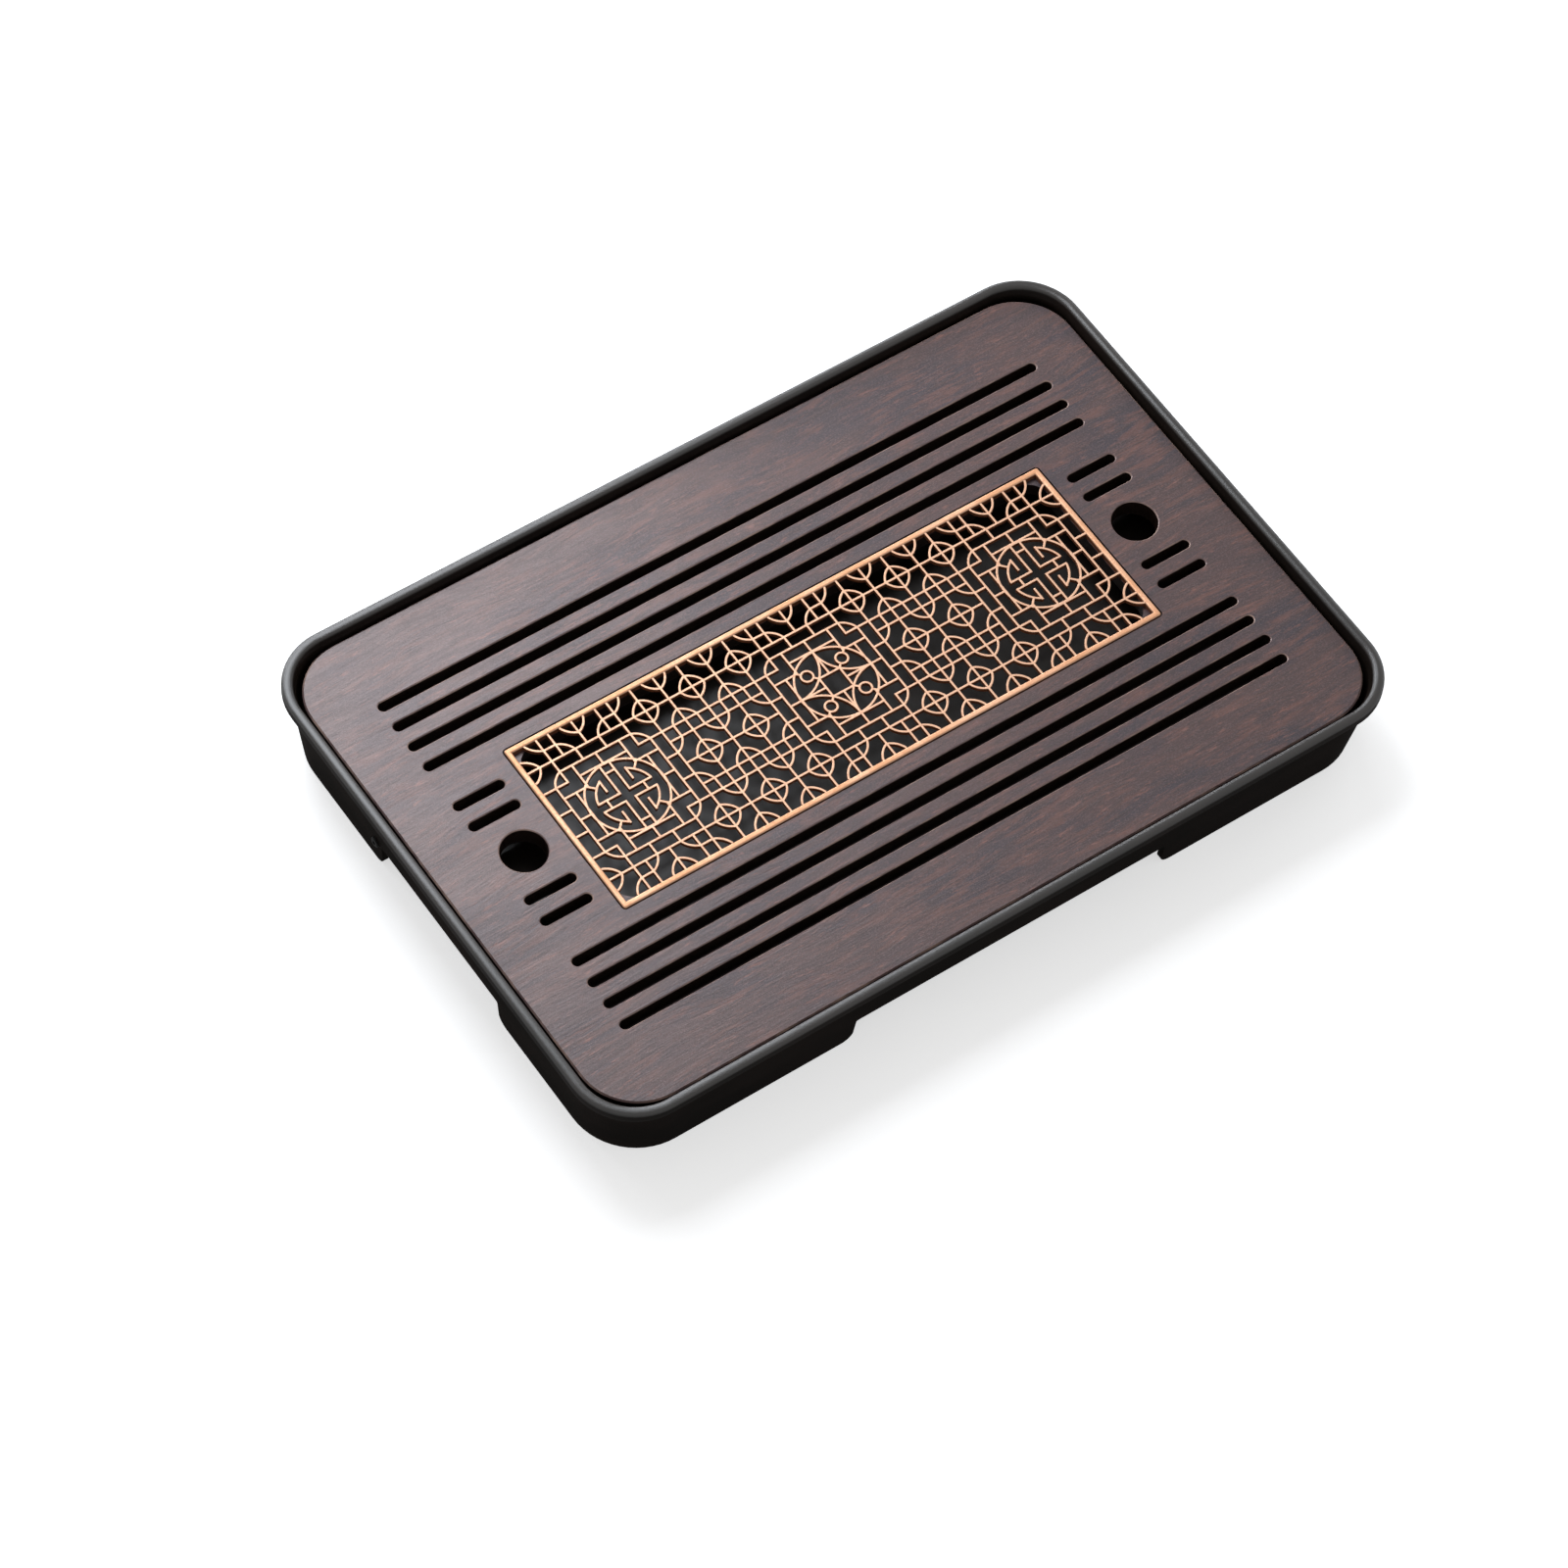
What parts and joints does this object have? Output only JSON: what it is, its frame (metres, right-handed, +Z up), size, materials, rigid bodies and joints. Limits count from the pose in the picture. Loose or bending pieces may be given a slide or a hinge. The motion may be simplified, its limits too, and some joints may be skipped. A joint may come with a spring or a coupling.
{
  "type": "gongfu tea tray",
  "caption": "Rectangular gongfu tea tray: slotted bamboo board with a pierced metal grille, lying in a moulded basin on low feet that catches and drains the spilt tea.",
  "frame": {"origin": "on the ground, under the middle of the tray", "axes": "+X along the tray's length, +Y across it towards the long side that is farther from the viewer, +Z up"},
  "size_m": [0.36, 0.24, 0.037],
  "materials": {
    "basin": "black moulded plastic with a satin gloss, a little softer on the skirt than on the rim",
    "board": "grey-brown stained strand bamboo with fine lengthwise streaks, thin clear satin lacquer, lighter bare bamboo on the worn edges",
    "grille": "copper-coloured plated metal, satin",
    "plug": "black, matt"
  },
  "bodies": {
    "tray": {"tray_body": "basin"},
    "board": {"bamboo_board": "board"},
    "grille": {"grille": "grille"},
    "stopper": {"drain_plug": "plug"}
  },
  "joints": [
    {"name": "board_lift", "type": "slide", "parent": "tray", "child": "board", "axis": [0, 0, 1], "range_m": [0, 0.06]},
    {"name": "grille_lift", "type": "slide", "parent": "board", "child": "grille", "axis": [0, 0, 1], "range_m": [0, 0.04]},
    {"name": "plug_pull", "type": "slide", "parent": "tray", "child": "stopper", "axis": [-1, 0, 0], "range_m": [0, 0.02]}
  ]
}
